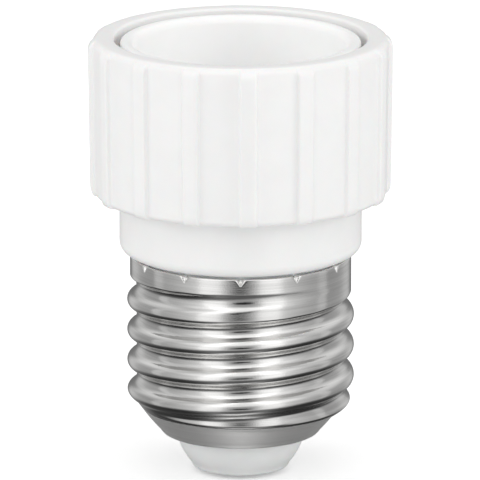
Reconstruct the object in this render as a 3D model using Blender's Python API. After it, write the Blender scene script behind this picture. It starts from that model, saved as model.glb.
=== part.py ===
"""Lamp socket adapter: a two-pin twist-lock lampholder carried on an Edison screw cap.

Metres, +Z up, mouth up. The origin is the lowest point of the centre contact, on the axis.
The front is -Y. The two pin holes lie on the X axis and the two insert screws on the Y axis.
"""

import math

import bmesh
import bpy
from mathutils import Matrix, Vector

MM = 0.001
UP = Vector((0.0, 0.0, 1.0))

# Fits
CLEAR = 0.3 * MM  # gap left between pieces that touch
PIN_CLEAR = 0.2 * MM  # gap round the neck of a lamp pin in its slot
HEAD_CLEAR = 0.5 * MM  # gap round the head of a lamp pin in its hole

# Edison screw cap, rolled from thin sheet
THREAD_CREST_R = 13.2 * MM
THREAD_DEPTH = 1.1 * MM
THREAD_ROOT_R = THREAD_CREST_R - THREAD_DEPTH
THREAD_PITCH = 25.4 / 7 * MM
THREAD_LENGTH = 15.4 * MM
THREAD_RUN_IN = 0.45  # turns over which the first groove deepens
SHEET = 0.3 * MM
BAND_INSET = 0.34 * MM  # how far the plain band lies inside the crests
BAND_R = THREAD_CREST_R - BAND_INSET
BAND_HEIGHT = 1.85 * MM
BAND_ROLL = 0.25 * MM
CONE_HEIGHT = 4.0 * MM
CONE_INSET = 1.0 * MM
CONE_TAPER = 3.2 * MM
CONE_TOP_R = THREAD_CREST_R - CONE_INSET
CONE_FOOT_R = CONE_TOP_R - CONE_TAPER
CONE_BULGE = 0.22 * MM
CONE_BLEND = 2.4 * MM  # height over which the last turn dies into the cone
CONE_BLEND_TILT = 0.4 * MM
CAP_CORNER = 0.4 * MM
CAP_LIP = 1.25 * MM
CAP_HOLE_R = CONE_FOOT_R - CAP_LIP
STAKE_COUNT = 12
STAKE_R = 0.55 * MM
STAKE_DEPTH = 0.5 * MM
STAKE_DROP = 0.95 * MM

# Tip insulator and centre contact
CONTACT_PROUD = 0.45 * MM
CONTACT_FACE_R = 1.2 * MM
CONTACT_HEAD_R = 2.4 * MM
CONTACT_HEAD = 0.95 * MM
CONTACT_STEM_R = 1.25 * MM
CONTACT_FLARE_R = 2.0 * MM
CONTACT_FLARE = 0.4 * MM
TIP_HEIGHT = 4.25 * MM
TIP_TAPER = 2.05 * MM
TIP_FOOT_R = CAP_HOLE_R - TIP_TAPER
TIP_BULGE = 0.38 * MM
TIP_EDGE = 0.45 * MM
TIP_WEB = 2.05 * MM
TIP_WALL = 1.85 * MM
TIP_CUP_R = CAP_HOLE_R - CLEAR - TIP_WALL
TIP_FLANGE = 2.0 * MM
TIP_FLANGE_WALL = 1.6 * MM
WASHER_R = 2.9 * MM
WASHER = 0.4 * MM

# Outer body: ribbed collar, neck and the skirt that the cap is staked to
NECK_STEP = 1.21 * MM  # how far the neck stands proud of the cap
NECK_R = BAND_R + NECK_STEP
NECK_HEIGHT = 6.8 * MM
NECK_FOOT_ROUND = 1.3 * MM
NECK_WALL = 2.05 * MM
SHELF_WIDTH = 2.66 * MM
BORE_R = NECK_R - NECK_WALL + SHELF_WIDTH
RIB_COUNT = 16
RIB_HEIGHT = 0.45 * MM
RIB_WIDTH = 3.1 * MM
RIB_PHASE = math.radians(3.0)
RIB_FADE = 1.4 * MM
RIB_FOOT = 1.2 * MM
RIB_FOOT_DRAW = 0.6 * MM
COLLAR_WALL = 2.52 * MM
COLLAR_R = BORE_R + COLLAR_WALL + RIB_HEIGHT
COLLAR_HEIGHT = 18.6 * MM
COLLAR_FLOOR = 3.2 * MM
COLLAR_TAPER = 0.2 * MM
RIM_ROUND = 0.8 * MM
LIP_ROUND = 0.35 * MM
WALL_FOOT_ROUND = 0.7 * MM
SKIRT_SEAT = 1.7 * MM
SKIRT_LENGTH = 5.7 * MM
SKIRT_WALL = 1.5 * MM
SKIRT_RECESS = 0.8 * MM
SLOT_WIDTH = 1.6 * MM
SLOT_HEIGHT = 4.2 * MM
SLOT_TURN = math.radians(-18)
BOSS_R = 2.0 * MM
BOSS_HEIGHT = 6.5 * MM

# Socket insert: cup, slotted floor and contact block
INSERT_GAP = 0.73 * MM
INSERT_R = BORE_R - INSERT_GAP
INSERT_DROP = 0.45 * MM
CUP_WALL = 1.65 * MM
CUP_R = INSERT_R - CUP_WALL
CUP_EDGE = 0.35 * MM
CUP_LIP_ROUND = 0.9 * MM
FLANGE_FOOT = 2.4 * MM  # from the collar's inner shelf up to the floor's underside
FLOOR = 3.5 * MM
POCKET_DEPTH = 5.45 * MM
PIN_SPACING = THREAD_CREST_R / 1.32  # 10 mm, in proportion to the cap
PIN_HEAD_R = PIN_SPACING / 4
PIN_NECK_R = 0.16 * PIN_SPACING
PIN_LENGTH = 7.0 * MM
PIN_TWIST = math.radians(25)
WEB_GAP = 0.25 * MM
WEB_HALF_WIDTH = PIN_SPACING / 2 - PIN_HEAD_R - HEAD_CLEAR - WEB_GAP
BLOCK_GAP = 0.42 * MM
BLOCK_WALL = 1.1 * MM
BLOCK_R = NECK_R - NECK_WALL - BLOCK_GAP
POCKET_R = BLOCK_R - BLOCK_WALL
PLATE = 1.6 * MM

# Screws
INSERT_SCREW_R = 1.15 * MM
INSERT_SCREW_LENGTH = 9.0 * MM
INSERT_SCREW_HEAD_R = 2.3 * MM
INSERT_SCREW_HEAD = 1.5 * MM
PLATE_SCREW_R = 0.8 * MM
PLATE_SCREW_LENGTH = 6.4 * MM
PLATE_SCREW_HEAD_R = 1.9 * MM
PLATE_SCREW_HEAD = 1.3 * MM
RECESS_WIDTH = 0.5 * MM
RECESS_DEPTH = 0.7 * MM
INSERT_SCREW_POS = CUP_R - INSERT_SCREW_HEAD_R - 2 * CLEAR
BLOCK_HALF_WIDTH = INSERT_SCREW_POS - BOSS_R - BLOCK_GAP

# Contacts, rivets, terminals and leads
STRIP = 0.4 * MM
STRIP_WIDTH = 3.2 * MM
CONTACT_TURN = math.radians(-12)
FINGER_CLEAR = 0.25 * MM
HAIRPIN = 0.12 * PIN_SPACING
RIVET_OUT = 1.0 * MM  # how far the rivet lies outside the pin
RIVET_POS = PIN_SPACING / 2 + RIVET_OUT
RIVET_R = 0.7 * MM
RIVET_HEAD_R = 1.4 * MM
RIVET_HEAD = 0.5 * MM
TERMINAL = 0.4 * MM
TERMINAL_R = 2.0 * MM
BARREL_R = 1.1 * MM
BARREL_LENGTH = 3.4 * MM
BARREL_OUT = 0.2 * MM
BARREL_SIDE = 2.6 * MM
BARREL_POS = Vector((RIVET_POS + BARREL_OUT, BARREL_SIDE, 0.0))
WIRE_R = 0.45 * MM
WIRE_GRIP = 2.4 * MM
SLEEVE_WALL = 0.4 * MM
SLEEVE_START = 1.4 * MM  # bare wire between barrel and sleeve
SLEEVE_STOP = 1.3 * MM  # bare wire between sleeve and skirt
LEAD_BOW = 0.6 * MM
LEAD_BEND = 0.5 * MM
LEAD_DROP = 3.0 * MM  # straight end of the centre lead above its contact

# Faces around
SHELL_STEPS = 36
BODY_STEPS = 56
CUP_STEPS = 44
TURNED_STEPS = 32
SMALL_STEPS = 12
SLEEVE_STEPS = 6

# Heights
TIP_Z = CONTACT_PROUD
CAP_Z = TIP_Z + TIP_HEIGHT
CONE_Z = CAP_Z + CONE_HEIGHT
GROOVE_Z = CONE_Z + THREAD_LENGTH
BAND_Z = GROOVE_Z + BAND_HEIGHT
NECK_Z = BAND_Z + CLEAR
COLLAR_Z = NECK_Z + NECK_HEIGHT
RIM_Z = COLLAR_Z + COLLAR_HEIGHT
SHELF_Z = COLLAR_Z + COLLAR_FLOOR
CEILING_Z = SHELF_Z + FLANGE_FOOT
FLOOR_Z = CEILING_Z + FLOOR
BLOCK_Z = CEILING_Z - POCKET_DEPTH
PLATE_Z = BLOCK_Z - CLEAR
SKIRT_Z = NECK_Z - SKIRT_LENGTH

# Plastics and metals: colour, roughness, metallic
WHITE_PLASTIC = ((0.86, 0.86, 0.85), 0.38, 0.0)
WHITE_TIP = ((0.78, 0.79, 0.78), 0.42, 0.0)
GREY_FIBRE = ((0.55, 0.53, 0.48), 0.75, 0.0)
NICKEL = ((0.72, 0.71, 0.69), 0.22, 1.0)
BRASS = ((0.71, 0.55, 0.28), 0.3, 1.0)
ZINC = ((0.62, 0.63, 0.65), 0.32, 1.0)
COPPER = ((0.78, 0.46, 0.3), 0.3, 1.0)
SILICONE = ((0.8, 0.78, 0.72), 0.6, 0.0)


def clear_scene():
    for obj in list(bpy.data.objects):
        bpy.data.objects.remove(obj, do_unlink=True)


def dressed(obj, finish):
    """Gives an object its own Principled material."""
    colour, roughness, metallic = finish
    material = bpy.data.materials.new(obj.name)
    material.use_nodes = True
    shader = material.node_tree.nodes["Principled BSDF"]
    shader.inputs["Base Color"].default_value = (*colour, 1.0)
    shader.inputs["Roughness"].default_value = roughness
    shader.inputs["Metallic"].default_value = metallic
    obj.data.materials.append(material)
    return obj


def from_bmesh(name, bm):
    """Closes a bmesh into a linked object of triangles that point out."""
    bmesh.ops.remove_doubles(bm, verts=bm.verts, dist=1e-7)
    bmesh.ops.triangulate(bm, faces=bm.faces)
    bmesh.ops.recalc_face_normals(bm, faces=bm.faces)
    mesh = bpy.data.meshes.new(name)
    bm.to_mesh(mesh)
    bm.free()
    mesh.shade_smooth()
    mesh.set_sharp_from_angle(angle=math.radians(35))
    obj = bpy.data.objects.new(name, mesh)
    bpy.context.scene.collection.objects.link(obj)
    return obj


def as_cutter(obj):
    obj.hide_render = True
    obj.display_type = "WIRE"
    return obj


def boolean(target, other, operation):
    """Adds a Boolean of another object, which stays in the scene as a guide."""
    modifier = target.modifiers.new(other.name, "BOOLEAN")
    modifier.operation = operation
    modifier.solver = "EXACT"
    modifier.object = as_cutter(other)


def polar(radius, angle, z=0.0):
    return Vector((radius * math.cos(angle), radius * math.sin(angle), z))


def arc(centre, radius, start, end, steps):
    """Points on an arc, both ends included; angles in degrees."""
    x, y = centre
    angles = [math.radians(start + (end - start) * i / steps) for i in range(steps + 1)]
    return [(x + radius * math.cos(a), y + radius * math.sin(a)) for a in angles]


def lathe(name, outline, steps, closed=True):
    """Turns an outline of (radius, z) about the Z axis. An open one starts and ends on the axis."""
    bm = bmesh.new()
    verts = [bm.verts.new((r, 0.0, z)) for r, z in outline]
    pairs = list(zip(verts, verts[1:]))
    if closed:
        pairs.append((verts[-1], verts[0]))
    edges = [bm.edges.new(pair) for pair in pairs]
    bmesh.ops.spin(
        bm,
        geom=verts + edges,
        axis=UP,
        cent=(0.0, 0.0, 0.0),
        angle=math.tau,
        steps=steps,
        use_merge=True,
    )
    return from_bmesh(name, bm)


def add_prism(bm, outline, low, high):
    """Adds a straight prism on an outline of (x, y) points."""
    bottom = bm.faces.new([bm.verts.new((x, y, low)) for x, y in outline])
    top = bmesh.ops.extrude_face_region(bm, geom=[bottom])["geom"]
    moved = [item for item in top if isinstance(item, bmesh.types.BMVert)]
    bmesh.ops.translate(bm, verts=moved, vec=(0.0, 0.0, high - low))


def prisms(name, outlines, low, high):
    """One object from straight prisms that stand on the same plane."""
    bm = bmesh.new()
    for outline in outlines:
        add_prism(bm, outline, low, high)
    return from_bmesh(name, bm)


def circle(x, y, radius, steps=SMALL_STEPS):
    return [(x + px, y + py) for px, py in arc((0.0, 0.0), radius, 0, 360, steps)[:-1]]


def half_turn(outline):
    return [(-x, -y) for x, y in outline]


def both_sides(outline):
    return [outline, half_turn(outline)]


def band_skin(bm, first, second):
    """Faces between two closed rings of vertices, of equal count or two to one."""
    if len(first) < len(second):
        first, second = second, first
    ratio = len(first) // len(second)
    for i, b in enumerate(second):
        following = second[(i + 1) % len(second)]
        ring = [first[(i * ratio + k) % len(first)] for k in range(ratio + 1)]
        if ratio == 2:
            bm.faces.new((ring[0], ring[1], b))
            ring = ring[1:]
        bm.faces.new((ring[0], ring[1], following, b))


def ring_body(name, rings):
    """A closed tube-like body through rings of points, the last joined to the first."""
    bm = bmesh.new()
    made = [[bm.verts.new(point) for point in ring] for ring in rings]
    for first, second in zip(made, made[1:] + made[:1]):
        band_skin(bm, first, second)
    return from_bmesh(name, bm)


def offset_path(points, distance):
    """A path of (u, v) points moved sideways, to the right of its direction when positive."""
    moved = []
    last = len(points) - 1
    for i, point in enumerate(points):
        before = points[max(i - 1, 0)]
        after = points[min(i + 1, last)]
        du = after[0] - before[0]
        dv = after[1] - before[1]
        size = math.hypot(du, dv)
        moved.append((point[0] + distance * dv / size, point[1] - distance * du / size))
    return moved


def smooth_route(points, steps):
    """A Catmull-Rom curve through the points, with a number of steps between each two."""
    ends = [points[0] * 2 - points[1], *points, points[-1] * 2 - points[-2]]
    route = []
    for a, b, c, d in zip(ends, ends[1:], ends[2:], ends[3:]):
        for i in range(steps):
            t = i / steps
            route.append(
                0.5
                * (
                    2 * b
                    + (c - a) * t
                    + (2 * a - 5 * b + 4 * c - d) * t**2
                    + (3 * b - a - 3 * c + d) * t**3
                )
            )
    route.append(points[-1])
    return route


def swept_rings(route, radius, steps):
    """Circles square to a route, kept from twisting along it."""
    rings = []
    side = None
    for i, point in enumerate(route):
        ahead = route[min(i + 1, len(route) - 1)] - route[max(i - 1, 0)]
        ahead.normalize()
        if side is None:
            side = ahead.orthogonal()
        side = (side - ahead * side.dot(ahead)).normalized()
        other = ahead.cross(side)
        angles = [math.tau * k / steps for k in range(steps)]
        rings.append(
            [point + radius * (math.cos(a) * side + math.sin(a) * other) for a in angles]
        )
    return rings


def wire(name, route, radius):
    """A round wire as a curve object with a bevel and filled ends."""
    curve = bpy.data.curves.new(name, "CURVE")
    curve.dimensions = "3D"
    curve.bevel_depth = radius
    curve.bevel_resolution = 2
    curve.use_fill_caps = True
    spline = curve.splines.new("POLY")
    spline.points.add(len(route) - 1)
    for point, place in zip(spline.points, route):
        point.co = (*place, 1.0)
    obj = bpy.data.objects.new(name, curve)
    bpy.context.scene.collection.objects.link(obj)
    return obj


def sleeve(name, route):
    """A tube over a wire, a running gap away from it."""
    inner = swept_rings(route, WIRE_R + CLEAR, SLEEVE_STEPS)
    outer = swept_rings(route, WIRE_R + CLEAR + SLEEVE_WALL, SLEEVE_STEPS)
    return ring_body(name, outer + inner[::-1])


def ease(value):
    """Smooth step from 0 to 1."""
    value = min(max(value, 0.0), 1.0)
    return value * value * (3.0 - 2.0 * value)


def blend(low, high, share):
    return low + (high - low) * share


def cone_radius(z):
    """Outer radius of the plain cone under the thread."""
    share = (z - CAP_Z) / CONE_HEIGHT
    bulge = 4.0 * CONE_BULGE * share * (1.0 - share)
    return blend(CONE_FOOT_R, CONE_TOP_R, share) + bulge


def rolled_height(phase):
    """Height of the rolled thread over its root, 0 to 1: arcs that meet halfway up the flank."""
    depth = THREAD_CREST_R - THREAD_ROOT_R
    quarter = THREAD_PITCH / 4
    arc_r = (4 * quarter**2 + depth**2) / (4 * depth)
    from_crest = abs(phase - 0.5) * THREAD_PITCH
    if from_crest < quarter:
        return 1.0 - (arc_r - math.sqrt(arc_r**2 - from_crest**2)) / depth
    from_root = 2 * quarter - from_crest
    return (arc_r - math.sqrt(arc_r**2 - from_root**2)) / depth


def thread_radius(down_turn, z):
    """Outer radius of the cap at a share of a turn, counted downwards from +X by the front."""
    phase = (GROOVE_Z - z) / THREAD_PITCH - down_turn
    groove = math.floor(phase)
    phase -= groove
    travel = down_turn + groove
    nearest = travel if phase < 0.5 else travel + 1.0
    root = blend(BAND_R, THREAD_ROOT_R, ease(nearest / THREAD_RUN_IN))
    crest = blend(BAND_R, THREAD_CREST_R, ease(travel / THREAD_RUN_IN))
    radius = min(blend(root, THREAD_CREST_R, rolled_height(phase)), crest)
    low = CONE_Z - 0.8 * CONE_BLEND
    low += CONE_BLEND_TILT * (1.0 - math.cos(math.tau * down_turn))
    return blend(cone_radius(z), radius, ease((z - low) / CONE_BLEND))


def shell_outline(down_turn):
    """The outer side of the cap from its rolled edge down to the hole at its foot."""
    roll = BAND_ROLL
    points = [
        (BAND_R - roll, BAND_Z),
        (BAND_R - 0.3 * roll, BAND_Z - 0.3 * roll),
        (BAND_R, BAND_Z - roll),
    ]
    top = GROOVE_Z + THREAD_PITCH / 4
    rows = round((top - CONE_Z) / (THREAD_PITCH / 6))
    heights = [blend(top, CONE_Z, i / rows) for i in range(rows + 1)]
    low = CAP_Z + CAP_CORNER
    heights += [blend(CONE_Z, low, i / 5) for i in range(1, 6)]
    points += [(thread_radius(down_turn, z), z) for z in heights]
    foot = cone_radius(low)
    points.append((foot - 0.45 * CAP_CORNER, CAP_Z + 0.3 * CAP_CORNER))
    points.append((foot - 1.2 * CAP_CORNER, CAP_Z))
    points.append((CAP_HOLE_R, CAP_Z))
    return points


def cones(name, count, outer_r, base_r, depth, z):
    """Cones that point at the axis, evenly spaced, one of them at the front."""
    bm = bmesh.new()
    for i in range(count):
        angle = -math.pi / 2 + math.tau * i / count
        turned = Matrix.Rotation(angle, 4, "Z") @ Matrix.Rotation(-math.pi / 2, 4, "Y")
        place = Matrix.Translation(polar(outer_r - depth / 2, angle, z)) @ turned
        bmesh.ops.create_cone(
            bm,
            cap_ends=True,
            segments=6,
            radius1=base_r,
            radius2=0.1 * base_r,
            depth=depth,
            matrix=place,
        )
    return from_bmesh(name, bm)


def make_screw_shell():
    rings = []
    outlines = []
    for i in range(SHELL_STEPS):
        outer = shell_outline(-i / SHELL_STEPS % 1.0)
        inner = offset_path(outer, SHEET)
        outlines.append(outer + inner[::-1])
    for row in range(len(outlines[0])):
        rings.append(
            [
                polar(outline[row][0], math.tau * i / SHELL_STEPS, outline[row][1])
                for i, outline in enumerate(outlines)
            ]
        )
    shell = dressed(ring_body("screw_shell", rings), NICKEL)
    z = BAND_Z - STAKE_DROP
    proud = 2 * SHEET
    bumps = cones("stake_bumps", STAKE_COUNT, BAND_R - SHEET / 2, 1.2 * STAKE_R, STAKE_DEPTH + SHEET / 2, z)
    slope = STAKE_R / STAKE_DEPTH
    dents = cones("stake_dents", STAKE_COUNT, BAND_R + proud, STAKE_R + slope * proud, STAKE_DEPTH + proud, z)
    boolean(shell, bumps, "UNION")
    boolean(shell, dents, "DIFFERENCE")
    return shell


def make_tip_insulator():
    """White moulding under the cap: a convex foot, and a flange that follows the inside of the cone."""
    neck_r = CAP_HOLE_R - CLEAR
    reach = SHEET + CLEAR
    flange_low = CAP_Z + reach
    flange_high = flange_low + TIP_FLANGE
    slant = (CONE_TOP_R - CONE_FOOT_R) / CONE_HEIGHT
    inset = 1.05 * reach * math.hypot(1.0, slant)
    foot = TIP_FOOT_R - TIP_EDGE
    outline = [(foot, TIP_Z)]
    outline += arc((foot, TIP_Z + TIP_EDGE), TIP_EDGE, -45, 0, 1)
    steps = 5
    for i in range(1, steps + 1):
        share = i / steps
        z = blend(TIP_Z + TIP_EDGE, CAP_Z, share)
        radius = blend(TIP_FOOT_R, neck_r, share)
        outline.append((radius + 4 * TIP_BULGE * share * (1 - share), z))
    outline += [
        (neck_r, flange_low),
        (cone_radius(flange_low) - inset, flange_low),
        (cone_radius(flange_high) - inset, flange_high),
        (cone_radius(flange_high) - inset - TIP_FLANGE_WALL, flange_high),
        (TIP_CUP_R, CAP_Z),
    ]
    web_low = CONTACT_HEAD + CLEAR
    outline += [
        (TIP_CUP_R, web_low + TIP_WEB),
        (CONTACT_STEM_R + CLEAR, web_low + TIP_WEB),
        (CONTACT_STEM_R + CLEAR, web_low),
        (CONTACT_HEAD_R + CLEAR, web_low),
        (CONTACT_HEAD_R + CLEAR, TIP_Z),
    ]
    return dressed(lathe("tip_insulator", outline, TURNED_STEPS), WHITE_TIP)


def make_centre_contact():
    """Riveted contact: a flat-faced dome, a hollow stem and a flare over the washer."""
    washer_z = CONTACT_HEAD + CLEAR + TIP_WEB + CLEAR
    flare_z = washer_z + WASHER + CLEAR
    top = flare_z + CONTACT_FLARE
    bore = WIRE_R + CLEAR
    outline = [
        (0.0, 0.0),
        (CONTACT_FACE_R, 0.0),
        (blend(CONTACT_FACE_R, CONTACT_HEAD_R, 0.6), 0.13 * CONTACT_HEAD),
        (blend(CONTACT_FACE_R, CONTACT_HEAD_R, 0.9), 0.35 * CONTACT_HEAD),
        (CONTACT_HEAD_R, 0.65 * CONTACT_HEAD),
        (CONTACT_HEAD_R, CONTACT_HEAD),
        (CONTACT_STEM_R, CONTACT_HEAD),
        (CONTACT_STEM_R, flare_z),
        (CONTACT_FLARE_R, flare_z),
        (CONTACT_FLARE_R, top),
        (bore, top),
        (bore, CONTACT_HEAD + CLEAR),
        (0.0, CONTACT_HEAD + CLEAR),
    ]
    dressed(lathe("centre_contact", outline, SMALL_STEPS + 4, closed=False), NICKEL)
    hole = CONTACT_STEM_R + CLEAR
    flat = [(hole, washer_z), (WASHER_R, washer_z), (WASHER_R, washer_z + WASHER), (hole, washer_z + WASHER)]
    dressed(lathe("contact_washer", flat, SMALL_STEPS), BRASS)
    return top


def rib_columns():
    """Angles round the collar with the share of a rib's height at each: six on a rib, one on the wall."""
    period = math.tau / RIB_COUNT
    half = RIB_WIDTH / COLLAR_R / 2
    shares = (-1.0, -0.6, -0.25, 0.25, 0.6, 1.0)
    columns = []
    for i in range(RIB_COUNT):
        centre = -math.pi / 2 + RIB_PHASE + i * period
        columns += [(centre + half * t, ease(1.25 * (1.0 - abs(t)))) for t in shares]
        columns.append((centre + period / 2, 0.0))
    return columns


def collar_paths():
    """(wall, rib) outlines of the collar's outside, from the rim down, with as many points each."""
    wall_r = COLLAR_R - RIB_HEIGHT
    start = wall_r - RIM_ROUND
    wall = []
    rib = []
    for angle in (90, 60, 30, 0):
        c = math.cos(math.radians(angle))
        s = math.sin(math.radians(angle))
        wall.append((start + RIM_ROUND * c, RIM_Z - RIM_ROUND * (1 - s)))
        rib.append((start + (RIM_ROUND + RIB_HEIGHT) * c, RIM_Z - RIB_FADE * (1 - s)))
    foot_r = wall_r - COLLAR_TAPER
    centre = (foot_r - WALL_FOOT_ROUND, COLLAR_Z + WALL_FOOT_ROUND)
    wall += arc(centre, WALL_FOOT_ROUND, 0, -90, 3)
    edge = foot_r + RIB_HEIGHT
    rib += [
        (edge, COLLAR_Z + RIB_FOOT),
        (edge - 0.3 * RIB_FOOT_DRAW, COLLAR_Z + 0.45 * RIB_FOOT),
        (edge - RIB_FOOT_DRAW, COLLAR_Z + 0.06 * RIB_FOOT),
        (foot_r - WALL_FOOT_ROUND, COLLAR_Z),
    ]
    return wall, rib


def skirt_outline():
    """The neck and the skirt from the collar's underside to its foot, then the bore back up to the rim."""
    seat_r = BAND_R - SHEET - CLEAR
    skirt_r = THREAD_ROOT_R - SHEET - CLEAR
    neck_in = NECK_R - NECK_WALL
    skirt_in = skirt_r - SKIRT_WALL
    recess_z = BAND_Z - STAKE_DROP
    recess = STAKE_R + CLEAR
    outline = [(NECK_R, COLLAR_Z)]
    foot = (NECK_R - NECK_FOOT_ROUND, NECK_Z + NECK_FOOT_ROUND)
    outline += arc(foot, NECK_FOOT_ROUND, 0, -90, 3)
    outline += [
        (seat_r, NECK_Z),
        (seat_r, recess_z + recess),
        (seat_r - SKIRT_RECESS, recess_z + recess),
        (seat_r - SKIRT_RECESS, recess_z - recess),
        (skirt_r, NECK_Z - SKIRT_SEAT - CLEAR),
        (skirt_r, SKIRT_Z),
        (skirt_in, SKIRT_Z),
        (skirt_in, NECK_Z),
        (neck_in, NECK_Z + NECK_WALL),
        (neck_in, SHELF_Z),
        (BORE_R, SHELF_Z),
        (BORE_R, RIM_Z - LIP_ROUND),
        (BORE_R + 0.3 * LIP_ROUND, RIM_Z - 0.3 * LIP_ROUND),
        (BORE_R + LIP_ROUND, RIM_Z),
    ]
    return outline


def boss_outline(sign):
    """A D-shaped boss that grows out of the neck's wall towards the axis."""
    y = INSERT_SCREW_POS
    reach = NECK_R - NECK_WALL / 2
    side = math.sqrt(reach**2 - BOSS_R**2)
    outline = [(BOSS_R, side), *arc((0.0, y), BOSS_R, 0, -180, 6), (-BOSS_R, side)]
    return [(sign * px, sign * py) for px, py in outline]


def make_outer_body():
    wall, rib = collar_paths()
    columns = rib_columns()
    rings = []
    for (wall_r, wall_z), (rib_r, rib_z) in zip(wall, rib):
        rings.append(
            [
                polar(blend(wall_r, rib_r, share), angle, blend(wall_z, rib_z, share))
                for angle, share in columns
            ]
        )
    first = columns[0][0]
    for radius, z in skirt_outline():
        hidden = z < SHELF_Z and radius < NECK_R - NECK_FOOT_ROUND
        count = BODY_STEPS // 2 if hidden else BODY_STEPS
        step = math.tau / count
        rings.append([polar(radius, first + step * i, z) for i in range(count)])
    body = dressed(ring_body("outer_body", rings), WHITE_PLASTIC)
    half = SLOT_WIDTH / 2
    inner = THREAD_ROOT_R - SHEET - CLEAR - 2 * SKIRT_WALL
    slot = [(inner, -half), (BAND_R, -half), (BAND_R, half), (inner, half)]
    cutter = prisms("lead_slot", [slot], SKIRT_Z - CLEAR, SKIRT_Z + SLOT_HEIGHT)
    cutter.rotation_euler.z = SLOT_TURN
    boolean(body, cutter, "DIFFERENCE")
    top = SHELF_Z - CLEAR
    low = top - BOSS_HEIGHT
    bosses = prisms("body_bosses", [boss_outline(1), boss_outline(-1)], low, top)
    boolean(body, bosses, "UNION")
    pilots = screw_holes("body_pilots", INSERT_SCREW_R + CLEAR, low - CLEAR, SHELF_Z + CLEAR)
    boolean(body, pilots, "DIFFERENCE")
    return body


def screw_holes(name, radius, low, high):
    """Cutters for the two insert screws."""
    y = INSERT_SCREW_POS
    return prisms(name, [circle(0.0, y, radius), circle(0.0, -y, radius)], low, high)


def keyhole():
    """Entry hole of the right-hand pin, joined to the slot that its neck turns into."""
    ring = PIN_SPACING / 2
    entry = PIN_HEAD_R + HEAD_CLEAR
    half = PIN_NECK_R + PIN_CLEAR

    def meeting(radius):
        """Angle round the entry hole at which it crosses an arc of the slot."""
        return math.degrees(math.acos((radius**2 - ring**2 - entry**2) / (2 * ring * entry)))

    outer = meeting(ring + half)
    inner = meeting(ring - half)
    outline = arc((ring, 0.0), entry, -outer, 360 - inner, 18)
    turn = math.degrees(PIN_TWIST)
    start = math.degrees(math.atan2(outline[-1][1], outline[-1][0]))
    outline += arc((0.0, 0.0), ring - half, start, -turn, 4)[1:]
    end = polar(ring, -PIN_TWIST)
    outline += arc((end.x, end.y), half, 180 - turn, 360 - turn, 8)[1:]
    finish = math.degrees(math.atan2(outline[0][1], outline[0][0]))
    outline += arc((0.0, 0.0), ring + half, -turn, finish, 4)[1:-1]
    return outline


def pocket():
    """Room under the floor for the right-hand pin's head and its contact."""
    far = PIN_SPACING / 2 * math.sin(PIN_TWIST) + PIN_HEAD_R + CLEAR
    near = PIN_HEAD_R + HEAD_CLEAR
    low = -math.degrees(math.asin(far / POCKET_R))
    high = math.degrees(math.asin(near / POCKET_R))
    round_side = arc((0.0, 0.0), POCKET_R, low, high, 4)
    return [(WEB_HALF_WIDTH, -far), *round_side, (WEB_HALF_WIDTH, near)]


def block_outline():
    """A disc with two flat sides that clear the screw bosses."""
    low = math.degrees(math.asin(BLOCK_HALF_WIDTH / BLOCK_R))
    right = arc((0.0, 0.0), BLOCK_R, -low, low, 8)
    return right + half_turn(right)


def make_socket_insert():
    foot = SHELF_Z + CLEAR
    top = RIM_Z - INSERT_DROP
    edge = CUP_EDGE
    outline = [
        (0.0, FLOOR_Z),
        (CUP_R - edge, FLOOR_Z),
        (CUP_R, FLOOR_Z + edge),
        (CUP_R, top - CUP_LIP_ROUND),
        (CUP_R + 0.3 * CUP_LIP_ROUND, top - 0.3 * CUP_LIP_ROUND),
        (CUP_R + CUP_LIP_ROUND, top),
        (INSERT_R - edge, top),
        (INSERT_R, top - edge),
        (INSERT_R, foot),
        (CUP_R, foot),
        (CUP_R, CEILING_Z),
        (0.0, CEILING_Z),
    ]
    insert = dressed(lathe("socket_insert", outline, CUP_STEPS, closed=False), WHITE_PLASTIC)
    middle = FLOOR_Z - FLOOR / 2
    boolean(insert, prisms("insert_block", [block_outline()], BLOCK_Z, middle), "UNION")
    tubes = screw_holes("insert_tubes", BOSS_R, SHELF_Z, middle)
    boolean(insert, tubes, "UNION")
    pockets = prisms("contact_pockets", both_sides(pocket()), BLOCK_Z - CLEAR, CEILING_Z)
    boolean(insert, pockets, "DIFFERENCE")
    reach = PLATE_SCREW_LENGTH - PLATE - CLEAR
    pilot = [circle(0.0, 0.0, PLATE_SCREW_R + CLEAR)]
    cutter = prisms("plate_pilot", pilot, BLOCK_Z - CLEAR, BLOCK_Z + reach)
    boolean(insert, cutter, "DIFFERENCE")
    holes = prisms("pin_holes", both_sides(keyhole()), CEILING_Z - CLEAR, FLOOR_Z + CLEAR)
    boolean(insert, holes, "DIFFERENCE")
    shafts = screw_holes("insert_holes", INSERT_SCREW_R + CLEAR, SHELF_Z - CLEAR, FLOOR_Z + CLEAR)
    boolean(insert, shafts, "DIFFERENCE")
    sink = FLOOR_Z - INSERT_SCREW_HEAD - 2 * CLEAR
    seats = screw_holes("insert_seats", INSERT_SCREW_HEAD_R + CLEAR, sink, FLOOR_Z + CLEAR)
    boolean(insert, seats, "DIFFERENCE")
    return insert


def rivet_place():
    """Centre of the right-hand contact's rivet."""
    place = polar(RIVET_POS, CONTACT_TURN)
    return place.x, place.y


def make_base_plate():
    plate = prisms("base_plate", [block_outline()], PLATE_Z - PLATE, PLATE_Z)
    dressed(plate, GREY_FIBRE)
    x, y = rivet_place()
    holes = both_sides(circle(x, y, RIVET_R + CLEAR))
    holes.append(circle(0.0, 0.0, PLATE_SCREW_R + CLEAR))
    cutter = prisms("plate_holes", holes, PLATE_Z - PLATE - CLEAR, PLATE_Z + CLEAR)
    boolean(plate, cutter, "DIFFERENCE")
    return plate


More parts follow.
